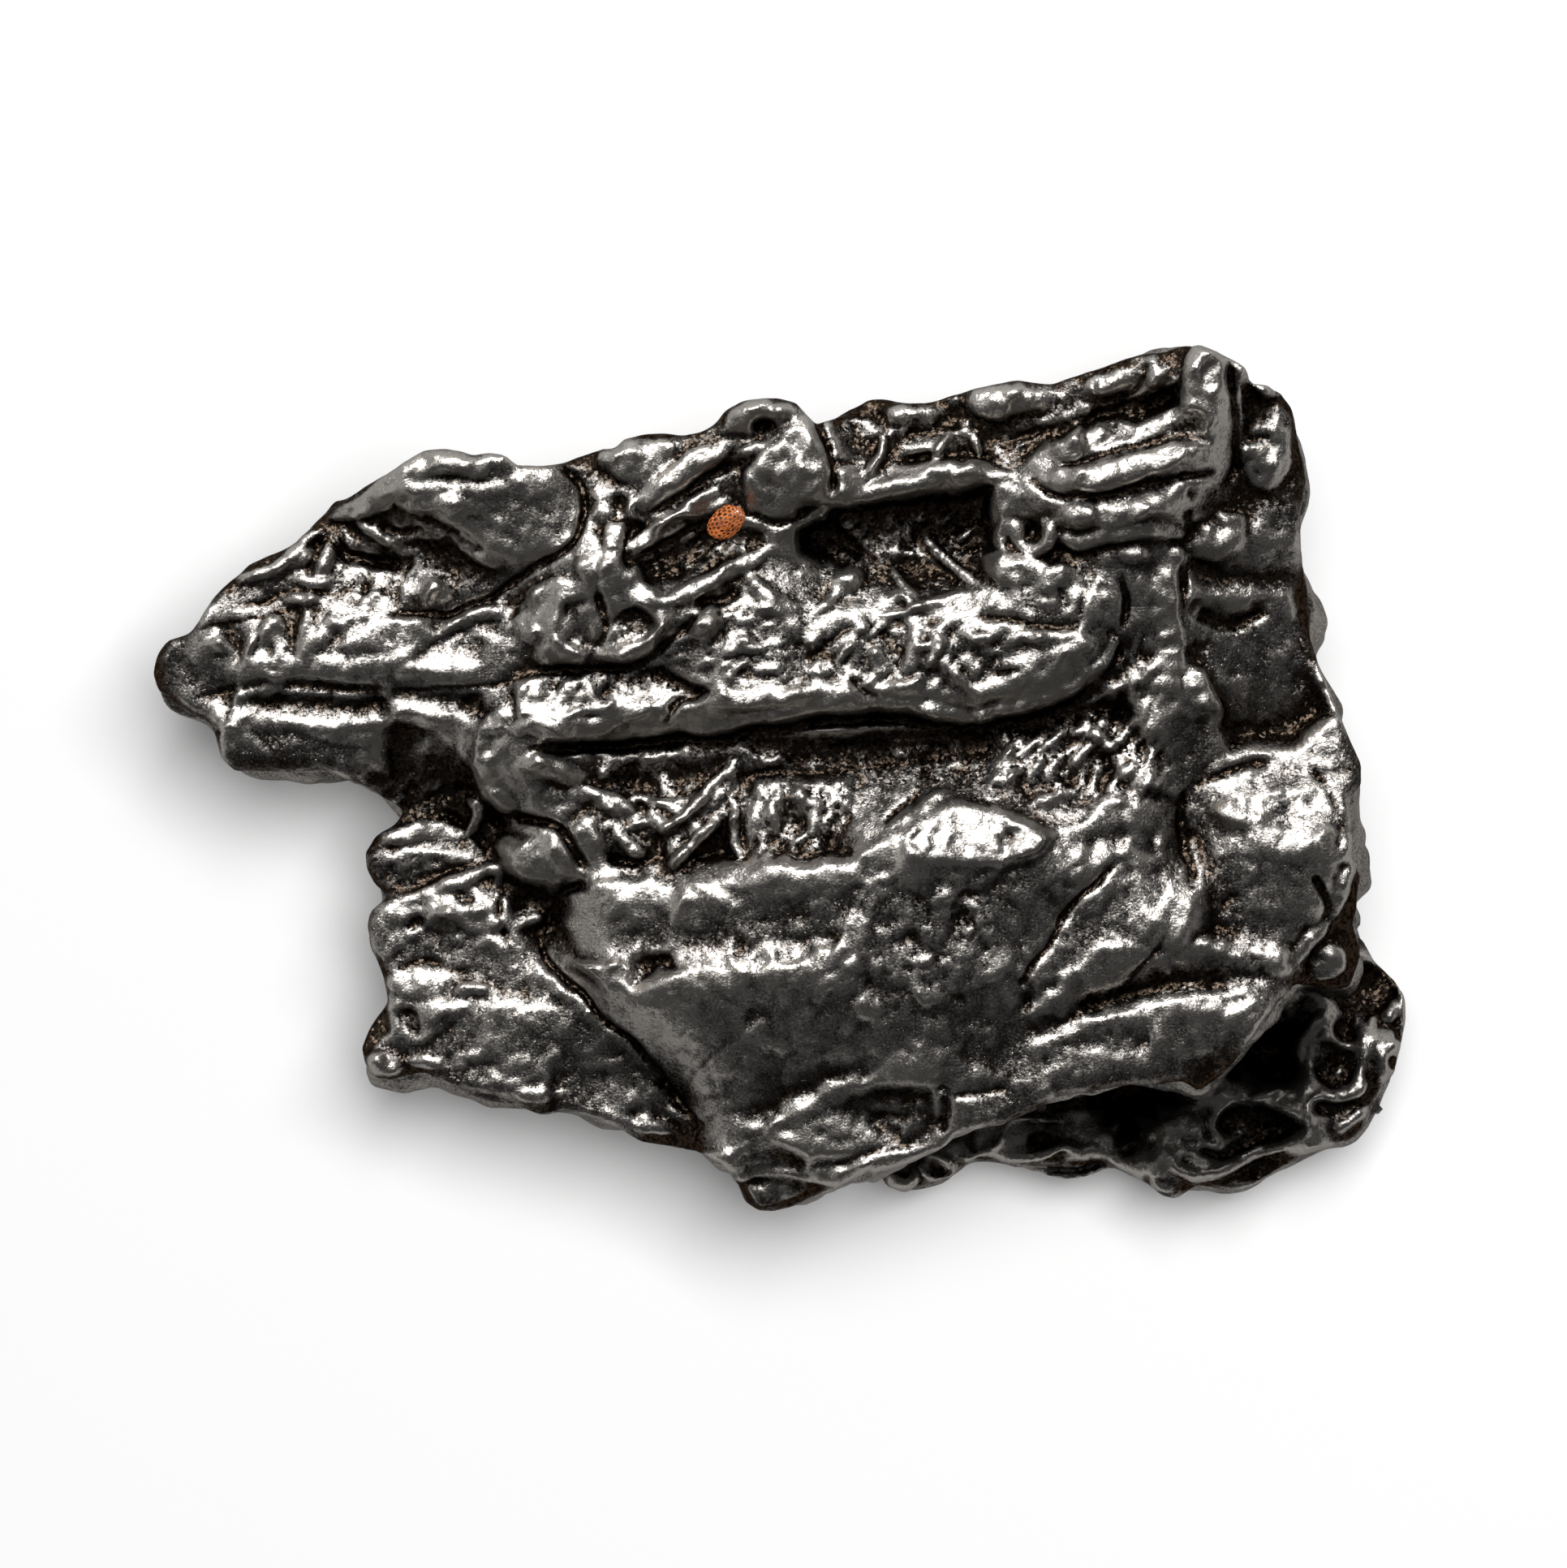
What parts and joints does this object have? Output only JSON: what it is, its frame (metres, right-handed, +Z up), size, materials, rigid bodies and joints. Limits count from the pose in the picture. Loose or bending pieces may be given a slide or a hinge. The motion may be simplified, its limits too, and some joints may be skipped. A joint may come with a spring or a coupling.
{
  "type": "iron meteorite",
  "caption": "Torn shard of nickel-iron: a thick slab split along its crystal plates, with a tapering arm, a cracked block and a low pitted lobe, lying flat",
  "frame": {"origin": "on the resting plane, under the middle of the bounding box", "axes": "+X along the shard from the tapering arm to the thick end, +Y across it towards the upper bars, +Z up out of the resting plane"},
  "size_m": [0.0486, 0.0332, 0.0166],
  "materials": {
    "weathered_iron": "dark nickel-iron, cleaned and waxed: burnished on the high ridges, brown-grey and granular in the furrows",
    "ochre_sand": "matt orange-brown grain"
  },
  "bodies": {
    "root": {"iron_shard": "weathered_iron", "sand_grain": "ochre_sand"}
  },
  "joints": []
}
